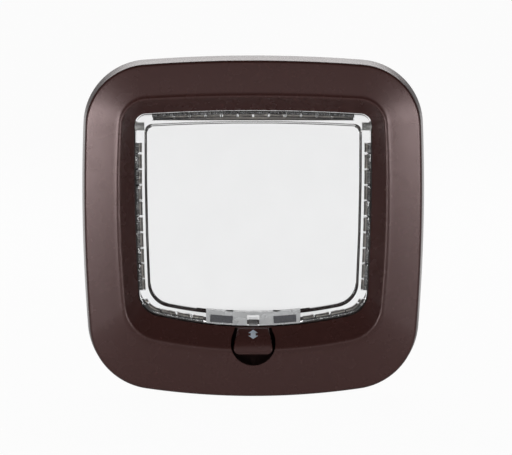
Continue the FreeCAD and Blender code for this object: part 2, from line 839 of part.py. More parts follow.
def knob_block(inset):
    """Wedge of the knob, drawn in from its front, top, foot and sides by an inset."""
    back_y = pocket_floor_y - knob_back_gap
    front_y = -front_crest_depth - knob_proud
    radius = knob_foot_radius - inset
    foot = Vector(0, front_y + inset + radius, knob_bottom + inset + radius)
    roll = [foot - Vector(0, radius, 0),
            foot - Vector(0, radius, radius) * math.sqrt(0.5),
            foot - Vector(0, 0, radius)]
    side_view = [(foot.y, foot.z - radius), (back_y + inset, knob_bottom + inset),
                 (back_y + inset, knob_top - inset), (back_y - knob_wall + inset, knob_top - inset),
                 (front_y + knob_break_drop + inset, knob_break_z), (foot.y - radius, foot.z)]
    outline = Part.makePolygon([Vector(0, y, z) for y, z in side_view])
    side_face = Part.Face(Part.Wire(outline.Edges + [Part.Arc(*roll).toShape()]))
    reach = Vector(frame_half_width, 0, 0)
    side_face.translate(-reach)
    wedge = side_face.extrude(reach * 2)
    front_view = Part.Face(knob_front_view(inset, front_y - overrun))
    return wedge.common(front_view.extrude(Vector(0, back_y - front_y + 2 * overrun, 0)))


def make_lock_knob():
    """Finger knob: a wedge that is hollow at the back, with a socket for the stem."""
    rear = pocket_floor_y - knob_back_gap
    socket_x = stem_half_width + knob_wall
    socket = box(-socket_x, socket_x, -frame_half_width, 0, knob_bottom, stem_bottom
                 + stem_height + knob_wall)
    knob = knob_block(0).cut(knob_block(knob_wall).cut(socket))
    stem_front = rear - stem_socket
    knob = knob.cut(box(-stem_half_width, stem_half_width, stem_front, 0,
                        stem_bottom, stem_bottom + stem_height))
    return one_solid(knob)


def make_lock_cover():
    """Plate pegged over the slide, with the boss that stops it at both ends."""
    y0, y1 = guide_back_y, guide_back_y + cover_thickness
    rail_x = slide_half_width + slide_fit + rail_width
    wing_x = peg_x + peg_boss_diameter / 2
    wing_z = peg_z + peg_boss_diameter / 2
    outline = [(-rail_x, cover_top), (rail_x, cover_top), (rail_x, wing_z), (wing_x, wing_z),
               (wing_x, cover_bottom), (-wing_x, cover_bottom), (-wing_x, wing_z),
               (-rail_x, wing_z)]
    cover = plate(outline, y0, y1)
    upright = [edge for edge in cover.Edges if edge.BoundBox.YLength > 0.1]
    cover = cover.makeFillet(cover_corner, upright)
    half = stop_width / 2
    studs = [box(-half, half, y0 - stop_height, y0 + 1, stop_z, stop_z + stop_length)]
    for side in (-1, 1):
        studs.append(cylinder_y(peg_diameter, side * peg_x, peg_z, y0 - peg_length, y0 + 1))
    return one_solid(cover.fuse(studs))


def make_frame_screw(x, z):
    """Screw from the rear frame's counterbore through the door into the front frame's boss."""
    seat_y = rear_y + screw_seat
    head_y = seat_y + screw_head_height
    screw = cylinder_y(screw_diameter, x, z, -screw_bite, seat_y)
    screw = screw.fuse(cylinder_y(screw_head_diameter, x, z, seat_y, head_y))
    half = drive_slot_width / 2
    slot = box(x - screw_head_diameter, x + screw_head_diameter,
               head_y - drive_slot_depth, head_y + 1, z - half, z + half)
    return one_solid(screw.cut(slot))


def make_parts():
    """Every piece by its node name."""
    parts = {
        "front_frame": make_front_frame(),
        "rear_frame": make_rear_frame(),
        "flap_panel": make_flap_panel(),
        "magnet_carrier": make_magnet_carrier(),
        "lock_keeper": make_lock_keeper(),
        "lock_slide": make_lock_slide(),
        "lock_knob": make_lock_knob(),
        "lock_cover": make_lock_cover(),
    }
    parts.update(make_brushes())
    for name, side in (("left", -1), ("right", 1)):
        parts["flap_magnet_" + name] = make_flap_magnet(side)
        parts["sill_magnet_" + name] = make_sill_magnet(side)
        parts["hinge_pin_" + name] = make_hinge_pin(side)
        parts["hinge_bush_" + name] = make_hinge_bush(side)
    for number, (x, z) in enumerate(screw_places(), start=1):
        parts["frame_screw_%d" % number] = make_frame_screw(x, z)
    return parts


os.makedirs("parts", exist_ok=True)
for name, shape in make_parts().items():
    shape.exportStep("parts/" + name + ".step")
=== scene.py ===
import math
import random

import bpy
from mathutils import Matrix, Vector
from mathutils.bvhtree import BVHTree
from mathutils.interpolate import poly_3d_calc


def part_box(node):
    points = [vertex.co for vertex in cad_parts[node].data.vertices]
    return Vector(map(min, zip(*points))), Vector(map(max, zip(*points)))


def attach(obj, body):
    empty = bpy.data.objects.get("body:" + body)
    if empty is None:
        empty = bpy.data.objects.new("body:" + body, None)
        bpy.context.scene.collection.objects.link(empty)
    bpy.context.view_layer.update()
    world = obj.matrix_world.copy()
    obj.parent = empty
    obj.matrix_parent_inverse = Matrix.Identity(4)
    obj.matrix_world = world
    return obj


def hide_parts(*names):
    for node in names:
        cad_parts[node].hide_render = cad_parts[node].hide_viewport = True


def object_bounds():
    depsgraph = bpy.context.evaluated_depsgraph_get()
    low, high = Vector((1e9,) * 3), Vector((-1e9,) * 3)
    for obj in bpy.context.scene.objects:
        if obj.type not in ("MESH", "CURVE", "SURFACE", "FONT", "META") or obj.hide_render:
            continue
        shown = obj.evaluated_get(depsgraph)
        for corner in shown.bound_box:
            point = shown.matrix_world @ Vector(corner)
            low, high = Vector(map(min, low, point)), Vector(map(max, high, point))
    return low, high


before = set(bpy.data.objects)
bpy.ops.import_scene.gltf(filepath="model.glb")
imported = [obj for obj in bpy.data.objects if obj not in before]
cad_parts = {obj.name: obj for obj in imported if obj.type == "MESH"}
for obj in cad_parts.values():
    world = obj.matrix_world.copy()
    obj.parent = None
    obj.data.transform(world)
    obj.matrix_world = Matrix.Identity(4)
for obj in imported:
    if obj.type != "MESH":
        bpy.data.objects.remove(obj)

bl_info = {
    "name": "Cat flap",
    "version": (1, 0, 0),
    "blender": (4, 5, 0),
    "location": "View3D > Sidebar > Cat flap",
    "description": "Dresses the cat flap's frame with its finishes, brushes and marks",
    "category": "Object",
}

MM = 0.001
CAD_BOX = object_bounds()
KNOB_LOW, KNOB_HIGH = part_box("lock_knob")
BRUSHES = ("brush_top", "brush_left", "brush_right", "brush_bottom_left", "brush_bottom_right")

# The curves of the front frame and the flap, in millimetres. Each row gives the half width, the
# height where it is widest, the radius of the sides, the top and its radius, the bottom and its
# radius, and the radii of the upper and lower corners. A section is such a row and its depth.
# HALF_WIDTH, BOTTOM and DEPTH are places in a section
BASE = (119.8, 23.0, 1230.0, 120.2, 1000.0, -120.0, 520.0, 46.0, 48.0)
CREST = (93.2, 23.0, 816.0, 93.7, 1280.0, -84.6, 342.0, 18.5, 26.0)
OPENING = (83.0, 50.0, 1900.0, 83.0, 1190.0, -69.8, 293.0, 8.6, 17.0)
FLAP = (82.0, 50.0, 1899.0, 82.0, 1189.0, -68.8, 292.0, 7.6, 16.0)
HALF_WIDTH, BOTTOM, DEPTH = 0, 5, 9

# The front frame, in millimetres
WALL_DEPTH, CREST_DEPTH, LIP_DEPTH, THROAT_REACH = 18.0, 22.6, 12.0, 24.0
DRAFT, EDGE_ROUND = 2.0, 2.6
POCKET_RADIUS, POCKET_MIDDLE, POCKET_SHOULDER = 15.6, -80.2, 12.6

# The brushes in the groove round the flap, in millimetres, and the seed of the first one
CHANNEL_DEPTH, SPINE_DEPTH, PILE_WIDTH, TIP_REACH = 4.4, 2.2, 2.4, 0.55
SPINE_SEAT, THREAD_LOW, THREAD_HIGH, THREAD_PROUD, THREAD_SUNK = 0.1, 0.5, 1.1, 0.12, 0.1
PIP_PITCH, PIP_HALF, SIDE_PIP_START = 11.1, 0.55, 8.0
BOTTOM_PIP_START, BOTTOM_PIP_STRETCH = 33.0, 1.03
FIRST_SEED = 40

# Faces that meet at more than this angle, in degrees, keep a sharp edge between them
MOULDING_SHARP, CLEAR_SHARP, KNOB_SHARP, ROUNDED_KNOB_SHARP = 32, 12, 40, 35


class FlapFinishes(bpy.types.PropertyGroup):
    """Colours of the cat flap's materials."""
    trim: bpy.props.FloatVectorProperty(
        name="Trim", description="Brown plastic of the frames and the knob",
        subtype="COLOR", size=3, default=(0.054, 0.0212, 0.0185), min=0, max=1)
    clear: bpy.props.FloatVectorProperty(
        name="Clear panel", description="Tint of the clear flap",
        subtype="COLOR", size=3, default=(0.9, 0.903, 0.907), min=0, max=1)
    carrier: bpy.props.FloatVectorProperty(
        name="Magnet carrier", description="Frosted plastic around the magnets",
        subtype="COLOR", size=3, default=(0.8, 0.81, 0.82), min=0, max=1)
    pile: bpy.props.FloatVectorProperty(
        name="Brush", description="Nylon bristles along the flap's edge",
        subtype="COLOR", size=3, default=(0.03, 0.022, 0.018), min=0, max=1)
    spine: bpy.props.FloatVectorProperty(
        name="Brush spine", description="Pale strip that holds the bristles",
        subtype="COLOR", size=3, default=(0.42, 0.38, 0.34), min=0, max=1)
    magnet: bpy.props.FloatVectorProperty(
        name="Magnet", description="Sintered ferrite bars",
        subtype="COLOR", size=3, default=(0.09, 0.09, 0.1), min=0, max=1)
    mark: bpy.props.FloatVectorProperty(
        name="Knob mark", description="Printed arrow on the knob",
        subtype="COLOR", size=3, default=(0.55, 0.62, 0.7), min=0, max=1)
    gloss: bpy.props.FloatProperty(
        name="Trim roughness", description="Roughness of the moulded trim",
        default=0.27, min=0.05, max=1)


class FlapSizes(bpy.types.PropertyGroup):
    """Sizes of the pieces that the scene adds."""
    bristle_pitch: bpy.props.FloatProperty(
        name="Bristle pitch", description="Distance from tuft to tuft along a brush",
        subtype="DISTANCE", unit="LENGTH", default=0.00042, min=0.0002)
    bristle_width: bpy.props.FloatProperty(
        name="Bristle width", description="Thickness of one bristle at its root",
        subtype="DISTANCE", unit="LENGTH", default=0.00022, min=0.00005)
    bristle_rows: bpy.props.IntProperty(
        name="Bristle rows", description="Rows of bristles across a brush", default=6, min=1)
    knob_round: bpy.props.FloatProperty(
        name="Knob rounding", description="Radius of the knob's outer edges",
        subtype="DISTANCE", unit="LENGTH", default=0.0015, min=0.0001, max=0.002)
    crest_step: bpy.props.FloatProperty(
        name="Crest step", description="Height of the small step outside the crest",
        subtype="DISTANCE", unit="LENGTH", default=0.0006, min=0, max=0.0008)
    face_crown: bpy.props.FloatProperty(
        name="Face crown", description="Bulge of the face between its edge and the crest",
        subtype="DISTANCE", unit="LENGTH", default=0.00012, min=0, max=0.0003)
    arrow_width: bpy.props.FloatProperty(
        name="Arrow width", description="Width of the arrow on the knob",
        subtype="DISTANCE", unit="LENGTH", default=0.0066, min=0.001)
    arrow_height: bpy.props.FloatProperty(
        name="Arrow height", description="Height of the arrow along the knob's slope",
        subtype="DISTANCE", unit="LENGTH", default=0.0086, min=0.001)


class StageSettings(bpy.types.PropertyGroup):
    """Camera and lamps."""
    camera_distance: bpy.props.FloatProperty(
        name="Camera distance", description="From the camera to the middle of the cut-out",
        subtype="DISTANCE", unit="LENGTH", default=3.0, min=0.1)
    camera_elevation: bpy.props.FloatProperty(
        name="Camera elevation", description="Height of the camera as an angle",
        subtype="ANGLE", unit="ROTATION", default=math.radians(7.5))
    camera_lens: bpy.props.FloatProperty(
        name="Lens", description="Focal length in millimetres", default=300.5, min=1)
    left_lamp_power: bpy.props.FloatProperty(
        name="Left lamp", description="Power of the soft box on the left",
        subtype="POWER", unit="POWER", default=20.5, min=0)
    right_lamp_power: bpy.props.FloatProperty(
        name="Right lamp", description="Power of the soft box on the right",
        subtype="POWER", unit="POWER", default=15.3, min=0)
    back_lamp_power: bpy.props.FloatProperty(
        name="Back lamp", description="Power of the soft box behind and above the object",
        subtype="POWER", unit="POWER", default=7.0, min=0)


# Working with meshes

def deselect():
    """Leaves edit mode and deselects every object."""
    if bpy.context.object and bpy.context.object.mode != "OBJECT":
        bpy.ops.object.mode_set(mode="OBJECT")
    bpy.ops.object.select_all(action="DESELECT")


def pick(piece):
    """Makes a piece the only selected and the active one."""
    deselect()
    piece.select_set(True)
    bpy.context.view_layer.objects.active = piece


def settle(piece):
    """Writes a piece's place into its mesh."""
    pick(piece)
    bpy.ops.object.transform_apply(location=True, rotation=True, scale=True)
    return piece


def edit_whole(piece, operator, **options):
    """Runs one mesh operator on all of a piece."""
    pick(piece)
    bpy.ops.object.mode_set(mode="EDIT")
    bpy.ops.mesh.select_all(action="SELECT")
    operator(**options)
    bpy.ops.object.mode_set(mode="OBJECT")


def choose(piece, kind, chosen):
    """Enters edit mode with only these edges or faces selected."""
    pick(piece)
    bpy.ops.object.mode_set(mode="EDIT")
    bpy.context.tool_settings.mesh_select_mode = (False, kind == "EDGE", kind == "FACE")
    bpy.ops.mesh.select_all(action="DESELECT")
    bpy.ops.object.mode_set(mode="OBJECT")
    elements = piece.data.edges if kind == "EDGE" else piece.data.polygons
    for number in chosen:
        elements[number].select = True
    bpy.ops.object.mode_set(mode="EDIT")


def shade_by_angle(piece, degrees):
    """Lets light run on over the edges that turn less than an angle."""
    pick(piece)
    bpy.ops.object.shade_smooth_by_angle(angle=math.radians(degrees))


def apply_modifier(piece, kind, **options):
    """Adds a modifier, sets its options and applies it."""
    pick(piece)
    modifier = piece.modifiers.new(kind.title(), kind)
    for name, value in options.items():
        setattr(modifier, name, value)
    bpy.ops.object.modifier_apply(modifier=modifier.name)


def set_material(piece, material):
    """Gives all of a piece one material."""
    piece.data.materials.clear()
    piece.data.materials.append(material)


def keep_flats_flat(piece):
    """Lets the large faces set the gloss where they meet small ones."""
    apply_modifier(piece, "WEIGHTED_NORMAL", mode="FACE_AREA", weight=50, keep_sharp=True)


def join_flats(piece):
    """Joins the triangles of each flat face into one, so that it mirrors evenly."""
    edit_whole(piece, bpy.ops.mesh.dissolve_limited, angle_limit=math.radians(0.5))
    keep_flats_flat(piece)


def add_object(name, points, faces):
    """Object from points and faces."""
    mesh = bpy.data.meshes.new(name)
    mesh.from_pydata(points, [], faces)
    piece = bpy.data.objects.new(name, mesh)
    bpy.context.scene.collection.objects.link(piece)
    return piece


def turn_faces_outwards(piece):
    edit_whole(piece, bpy.ops.mesh.normals_make_consistent, inside=False)


def new_piece(name, points, faces):
    """Object from points and faces, with its faces turned outwards."""
    piece = add_object(name, points, faces)
    turn_faces_outwards(piece)
    return piece


def soft_copy(node, name, degrees):
    """Copy of a CAD node's mesh with its faces joined, so that light runs over its soft edges."""
    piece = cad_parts[node].copy()
    piece.data = piece.data.copy()
    piece.name = piece.data.name = name
    bpy.context.scene.collection.objects.link(piece)
    world = piece.matrix_world.copy()
    piece.parent = None
    piece.matrix_world = world
    edit_whole(piece, bpy.ops.mesh.remove_doubles, threshold=0.004 * MM)
    shade_by_angle(piece, degrees)
    keep_flats_flat(piece)
    return piece


# The front frame's curves

def grown(shape, by):
    """The same curve, moved outwards everywhere by the same amount."""
    signs = (1, 0, 1, 1, 1, -1, 1, 1, 1)
    return tuple(size + sign * by for size, sign in zip(shape, signs))


def half_arcs(shape):
    """The arcs of a curve's right half from top to bottom: centre, radius and two headings."""
    half, widest, side_r, top, top_r, bottom, bottom_r, high_r, low_r = shape
    side = Vector((half - side_r, widest))
    above, below = Vector((0, top - top_r)), Vector((0, bottom + bottom_r))

    def corner(end, end_r, radius, upwards):
        line = end - side
        along = ((side_r - radius) ** 2 - (end_r - radius) ** 2
                 + line.length_squared) / (2 * line.length)
        across = math.sqrt((side_r - radius) ** 2 - along ** 2)
        line.normalize()
        normal = Vector((line.y, -line.x))
        options = (side + line * along + normal * across, side + line * along - normal * across)
        return max(options, key=lambda point: point.y * upwards)

    def heading(start, end):
        return math.atan2(end.y - start.y, end.x - start.x)

    high = corner(above, top_r, high_r, 1)
    low = corner(below, bottom_r, low_r, -1)
    turns = [math.pi / 2, heading(above, high), heading(side, high), heading(side, low),
             heading(below, low), -math.pi / 2]
    arcs = ((above, top_r), (high, high_r), (side, side_r), (low, low_r), (below, bottom_r))
    return [(centre, radius, turns[at], turns[at + 1])
            for at, (centre, radius) in enumerate(arcs)]


def curve_points(shape, counts=(12, 20, 16, 20, 12)):
    """Points round a whole curve, each arc in even steps."""
    right = []
    for (centre, radius, start, end), count in zip(half_arcs(shape), counts):
        for step in range(count):
            angle = start + (end - start) * step / count
            right.append(centre + radius * Vector((math.cos(angle), math.sin(angle))))
    right.append(Vector((0, shape[BOTTOM])))
    return right + [Vector((-point.x, point.y)) for point in reversed(right[1:-1])]


def walk(shape, step):
    """Places and outward directions at an even step round a whole curve."""
    places = []
    for centre, radius, start, end in half_arcs(shape):
        count = max(1, round(abs(end - start) * radius / step))
        for place in range(count):
            angle = start + (end - start) * (place + 0.5) / count
            out = Vector((math.cos(angle), math.sin(angle)))
            places.append((centre + radius * out, out))
    mirrored = [(Vector((-point.x, point.y)), Vector((-out.x, out.y)))
                for point, out in reversed(places)]
    return places + mirrored


def part_way(first, second, share):
    """Row of numbers that lies a share of the way from one row to another."""
    return tuple(one + (two - one) * share for one, two in zip(first, second))


def soft_turn(before, corner, after, steps):
    """Sections that turn softly from one side of a corner to the other."""
    sections = []
    for step in range(steps + 1):
        share = step / steps
        sections.append(part_way(part_way(before, corner, share),
                                 part_way(corner, after, share), share))
    return sections


def front_sections():
    """Curves down the front frame's show side, each followed by its depth."""
    sizes = bpy.context.scene.flap_sizes
    step, crown = sizes.crest_step / MM, sizes.face_crown / MM
    back = BASE + (0.0,)
    edge = grown(BASE, -DRAFT) + (-WALL_DEPTH,)
    top = CREST + (-CREST_DEPTH,)
    lip = OPENING + (-LIP_DEPTH,)

    def on_face(share, drop):
        """Section between the crest, where the share is 0, and the edge, where it is 1."""
        section = part_way(top, edge, share)
        return section[:DEPTH] + (section[DEPTH] + drop,)

    fine, coarse = 12, 6
    edge_end = 1 - EDGE_ROUND / (BASE[HALF_WIDTH] - OPENING[HALF_WIDTH])
    step_start, step_foot, step_top, crest_turn = 0.13, 0.085, 0.02, -0.012
    top_drop, crest_drop = 0.05, -0.12
    rise_low, rise_high, slope_share = 0.45, 0.85, 0.17
    turned_edge = soft_turn(part_way(edge, back, EDGE_ROUND / WALL_DEPTH), edge,
                            on_face(edge_end, 0), fine)
    face = []
    for place in range(1, 10):
        share = place / 10
        face.append(on_face(edge_end + (step_start - edge_end) * share,
                            step * share - crown * 4 * share * (1 - share)))
    foot, rise = on_face(step_foot, step), on_face(step_top, top_drop)
    turned_foot = soft_turn(on_face(step_start, step), foot,
                            part_way(foot, rise, rise_low), coarse)
    turned_crest = soft_turn(part_way(foot, rise, rise_high), on_face(crest_turn, crest_drop),
                             part_way(top, lip, slope_share), fine)
    return [back] + turned_edge + face + turned_foot + turned_crest + [lip]


def section_rows(sections):
    """Points of each section, in metres."""
    return [[Vector((point.x, section[DEPTH], point.y)) * MM
             for point in curve_points(section[:DEPTH])] for section in sections]


def ring_faces(count, rows, closed=False):
    """Faces between rows of points that each go round once."""
    faces = []
    for at in range(rows if closed else rows - 1):
        here, there = at * count, (at + 1) % rows * count
        for step in range(count):
            follow = (step + 1) % count
            faces.append((here + step, here + follow, there + follow, there + step))
    return faces


class Skin:
    """The even curves of the show side, asked for the nearest spot and its direction."""

    def __init__(self, strips):
        self.points, self.faces, self.normals = [], [], []
        for sections in strips:
            rows = section_rows(sections)
            count, first = len(rows[0]), len(self.points)
            for at, row in enumerate(rows):
                before, after = rows[max(0, at - 1)], rows[min(len(rows) - 1, at + 1)]
                for step, point in enumerate(row):
                    along = row[(step + 1) % count] - row[step - 1]
                    across = [end.normalized() for end in (point - before[step],
                                                           after[step] - point) if end.length > 0]
                    self.normals.append(sum(across, Vector()).cross(along).normalized())
                    self.points.append(point)
            self.faces += [tuple(first + corner for corner in face)
                           for face in ring_faces(count, len(rows))]
        self.tree = BVHTree.FromPolygons(self.points, self.faces)

    def normal(self, place, reach):
        """Direction of the skin beside a place, or nothing when the place is too far off."""
        spot, _, face, distance = self.tree.find_nearest(place)
        if distance > reach:
            return None
        corners = self.faces[face]
        shares = poly_3d_calc([self.points[corner] for corner in corners], spot)
        return sum((self.normals[corner] * share for corner, share in zip(corners, shares)),
                   Vector()).normalized()

    def depth(self, x, z):
        """Depth of the skin in front of a place, seen along Y."""
        well_ahead = -0.1
        spot = self.tree.ray_cast(Vector((x, well_ahead, z)), Vector((0, 1, 0)))[0]
        return None if spot is None else spot.y


def even_gloss(piece, skin, limit_degrees):
    """Gives the faces that lie in the skin the skin's own directions."""
    mesh = piece.data
    middle_reach, corner_reach = 0.15 * MM, 0.2 * MM
    limit = math.cos(math.radians(limit_degrees))
    custom = [Vector((0, 0, 0))] * len(mesh.loops)
    for polygon in mesh.polygons:
        middle = skin.normal(polygon.center, middle_reach)
        if middle is None or abs(middle.dot(polygon.normal)) < limit:
            continue
        for loop in polygon.loop_indices:
            corner = mesh.vertices[mesh.loops[loop].vertex_index].co
            normal = skin.normal(corner, corner_reach)
            if normal is None:
                continue
            if normal.dot(polygon.normal) < 0:
                normal = -normal
            custom[loop] = normal if normal.dot(polygon.normal) > limit else polygon.normal
    mesh.normals_split_custom_set(custom)


def pocket_block():
    """Block that opens the lock's pocket in the show side."""
    steps, overrun, block_front = 40, 5, -30
    shoulder = Vector((POCKET_SHOULDER, OPENING[BOTTOM]))
    centre = Vector((0, POCKET_MIDDLE))
    line = shoulder - centre
    start = math.atan2(line.y, line.x) - math.acos(POCKET_RADIUS / line.length)
    outline = [shoulder + Vector((0, overrun)), shoulder]
    for step in range(steps + 1):
        angle = start + (-math.pi / 2 - start) * step / steps
        outline.append(centre + POCKET_RADIUS * Vector((math.cos(angle), math.sin(angle))))
    outline += [Vector((-point.x, point.y)) for point in reversed(outline[:-1])]
    count = len(outline)
    points = [Vector((point.x, y, point.y)) * MM
              for y in (block_front, -LIP_DEPTH) for point in outline]
    faces = [tuple(range(count)), tuple(range(count, 2 * count))]
    for at in range(count):
        follow = (at + 1) % count
        faces.append((at, follow, count + follow, count + at))
    return new_piece("pocket_block", points, faces)


def pocket_box():
    """Corners of the space that the pocket takes, walls included."""
    slack_beside, slack, slack_above = 0.3, 0.2, 0.1
    reach = POCKET_RADIUS + slack_beside
    return (Vector((-reach, -CREST_DEPTH, POCKET_MIDDLE - reach)) * MM,
            Vector((reach, -LIP_DEPTH + slack, OPENING[BOTTOM] + slack_above)) * MM)


def make_show_side(sections):
    """Thin shell of the show side, with the lock's pocket cut out of it."""
    wall, crest_wall, side_wall = 1.0, 1.9, 0.8
    crest_inset, back_gap = 0.5, 0.01
    inside = [grown(OPENING, side_wall) + (wall - LIP_DEPTH,),
              grown(CREST, -crest_inset) + (crest_wall - CREST_DEPTH,),
              grown(BASE, -DRAFT - wall) + (wall - WALL_DEPTH,),
              grown(BASE, -side_wall) + (-back_gap,)]
    rows = section_rows(sections + inside)
    points = [point for row in rows for point in row]
    shell = new_piece("show_side", points, ring_faces(len(rows[0]), len(rows), closed=True))
    block = pocket_block()
    apply_modifier(shell, "BOOLEAN", operation="DIFFERENCE", solver="EXACT", object=block)
    bpy.data.objects.remove(block)
    return shell


def dress_front(piece):
    """Changes the faceted show side of the front frame's copy for one with even curves."""
    sections = front_sections()
    throat_sections = [sections[-1], OPENING + (THROAT_REACH,)]
    show = Skin([sections])
    mesh = piece.data
    show_reach, same_way = 0.9 * MM, 0.8
    chosen = []
    for polygon in mesh.polygons:
        normal = show.normal(polygon.center, show_reach)
        if normal is not None and abs(normal.dot(polygon.normal)) > same_way:
            chosen.append(polygon.index)
    choose(piece, "FACE", chosen)
    bpy.ops.mesh.delete(type="FACE")
    bpy.ops.object.mode_set(mode="OBJECT")
    # The rim of the lock's pocket moves out onto the curves
    pocket_half, below, ahead, rim_reach = 17, 0.05, 0.5, 1.2 * MM
    for vertex in mesh.vertices:
        x, y, z = vertex.co / MM
        if abs(x) < pocket_half and z < OPENING[BOTTOM] - below and y < -LIP_DEPTH - ahead:
            depth = show.depth(vertex.co.x, vertex.co.z)
            if depth is not None and abs(depth - vertex.co.y) < rim_reach:
                vertex.co.y = depth
    set_material(piece, finish("moulded_brown"))
    # The pocket's faces get the trim's brown made nearly black, as painted shade in the deep
    # recess
    mesh.materials.append(finish("rough_pocket_painted_shade"))
    # The throat's faces get the trim's brown at half brightness, as painted shade in the gap
    # round the flap
    mesh.materials.append(finish("rough_throat_painted_shade"))
    low, high = pocket_box()
    throat = Skin([throat_sections])
    throat_reach, across = 0.3 * MM, 0.3
    for polygon in mesh.polygons:
        in_pocket = all(a < b < c for a, b, c in zip(low, polygon.center, high))
        in_throat = (abs(polygon.normal.y) < across
                     and throat.normal(polygon.center, throat_reach))
        polygon.material_index = 1 if in_pocket else 2 if in_throat else 0
    shell = make_show_side(sections)
    set_material(shell, finish("moulded_brown"))
    shade_by_angle(shell, MOULDING_SHARP)
    pick(piece)
    shell.select_set(True)
    bpy.ops.object.join()
    even_gloss(piece, Skin([sections, throat_sections]), limit_degrees=25)


# Materials

def new_material(name):
    """Material with an emptied tree, its Principled shader and a coordinates node."""
    material = bpy.data.materials.new(name)
    material.use_nodes = True
    nodes = material.node_tree.nodes
    nodes.clear()
    output = nodes.new("ShaderNodeOutputMaterial")
    shader = nodes.new("ShaderNodeBsdfPrincipled")
    place = nodes.new("ShaderNodeTexCoord")
    material.node_tree.links.new(shader.outputs["BSDF"], output.inputs["Surface"])
    return material, shader, place.outputs["Object"]


def noise(material, place, scale, detail=2.0):
    """Cloudy pattern fixed to the object."""
    node = material.node_tree.nodes.new("ShaderNodeTexNoise")
    node.inputs["Scale"].default_value = scale
    node.inputs["Detail"].default_value = detail
    material.node_tree.links.new(place, node.inputs["Vector"])
    return node.outputs["Fac"]


def ramp(material, value, low, high, start=0.35, end=0.65):
    """Turns a value into a colour or number between two ends."""
    node = material.node_tree.nodes.new("ShaderNodeValToRGB")
    for stop, place, colour in zip(node.color_ramp.elements, (start, end), (low, high)):
        stop.position = place
        stop.color = (*colour, 1) if hasattr(colour, "__len__") else (colour,) * 3 + (1,)
    material.node_tree.links.new(value, node.inputs["Fac"])
    return node.outputs["Color"]


def bump(material, shader, value, height, strength):
    """Fine skin that only the light sees."""
    node = material.node_tree.nodes.new("ShaderNodeBump")
    node.inputs["Distance"].default_value = height
    node.inputs["Strength"].default_value = strength
    material.node_tree.links.new(value, node.inputs["Height"])
    material.node_tree.links.new(node.outputs["Normal"], shader.inputs["Normal"])


def shade(colour, factor):
    """A lighter or darker colour."""
    return tuple(min(1.0, channel * factor) for channel in colour)


def calculate(tree, operation, *values):
    """Sum node whose values are numbers or other nodes' outputs."""
    node = tree.nodes.new("ShaderNodeMath")
    node.operation = operation
    for socket, value in zip(node.inputs, values):
        if isinstance(value, float):
            socket.default_value = value
        else:
            tree.links.new(value, socket)
    return node.outputs["Value"]


def map_range(tree, value, start, end, low=0.0, high=1.0):
    """Goes from a low to a high number while a value goes from a start to an end."""
    node = tree.nodes.new("ShaderNodeMapRange")
    numbers = {"From Min": start, "From Max": end, "To Min": low, "To Max": high}
    for name, number in numbers.items():
        node.inputs[name].default_value = number
    tree.links.new(value, node.inputs["Value"])
    return node.outputs["Result"]


def mix_shaders(tree, share, plain, white, output):
    """Gives a tree's output one shader that turns to another by a share."""
    node = tree.nodes.new("ShaderNodeMixShader")
    tree.links.new(share, node.inputs["Fac"])
    tree.links.new(plain, node.inputs[1])
    tree.links.new(white, node.inputs[2])
    tree.links.new(node.outputs["Shader"], output.inputs["Surface"])


def moulded_brown(finishes):
    """Satin moulded plastic: faint flow marks in its colour and a fine skin on its gloss."""
    material, shader, place = new_material("moulded_brown")
    links = material.node_tree.links
    flow = noise(material, place, scale=9.0)
    links.new(ramp(material, flow, shade(finishes.trim, 0.96), shade(finishes.trim, 1.04),
                   start=0.1, end=0.9), shader.inputs["Base Color"])
    skin = noise(material, place, scale=90.0, detail=4.0)
    links.new(ramp(material, skin, finishes.gloss - 0.02, finishes.gloss + 0.02,
                   start=0.2, end=0.8), shader.inputs["Roughness"])
    shader.inputs["Specular IOR Level"].default_value = 0.65
    shader.inputs["Specular Tint"].default_value = (1.0, 0.79, 0.79, 1.0)
    grain = noise(material, place, scale=2600.0)
    bump(material, shader, grain, height=0.00002, strength=0.25)
    return material


def clear_polycarbonate(finishes):
    """Clear sheet with the faintest haze and waviness."""
    material, shader, place = new_material("clear_polycarbonate")
    links = material.node_tree.links
    haze = noise(material, place, scale=40.0, detail=3.0)
    links.new(ramp(material, haze, shade(finishes.clear, 0.985), finishes.clear),
              shader.inputs["Base Color"])
    links.new(ramp(material, haze, 0.015, 0.05), shader.inputs["Roughness"])
    shader.inputs["Transmission Weight"].default_value = 1.0
    shader.inputs["IOR"].default_value = 1.5
    return material


def frosted_carrier(finishes):
    """Milky clear plastic."""
    material, shader, place = new_material("frosted_carrier")
    links = material.node_tree.links
    cloud = noise(material, place, scale=120.0, detail=3.0)
    links.new(ramp(material, cloud, shade(finishes.carrier, 0.93), shade(finishes.carrier, 1.05)),
              shader.inputs["Base Color"])
    links.new(ramp(material, cloud, 0.22, 0.34), shader.inputs["Roughness"])
    shader.inputs["Transmission Weight"].default_value = 0.35
    shader.inputs["IOR"].default_value = 1.5
    return material


def nylon_pile(finishes):
    """Dark bristles, each a little lighter or darker than the next."""
    material, shader, place = new_material("nylon_pile")
    links = material.node_tree.links
    strands = noise(material, place, scale=1400.0)
    links.new(ramp(material, strands, shade(finishes.pile, 0.4), shade(finishes.pile, 2.2)),
              shader.inputs["Base Color"])
    shader.inputs["Roughness"].default_value = 0.5
    return material


def ferrite(finishes):
    """Dark sintered bar with a grainy skin."""
    material, shader, place = new_material("ferrite")
    links = material.node_tree.links
    grain = noise(material, place, scale=900.0, detail=4.0)
    links.new(ramp(material, grain, shade(finishes.magnet, 0.8), shade(finishes.magnet, 1.25)),
              shader.inputs["Base Color"])
    shader.inputs["Roughness"].default_value = 0.55
    bump(material, shader, grain, height=0.00005, strength=0.4)
    return material


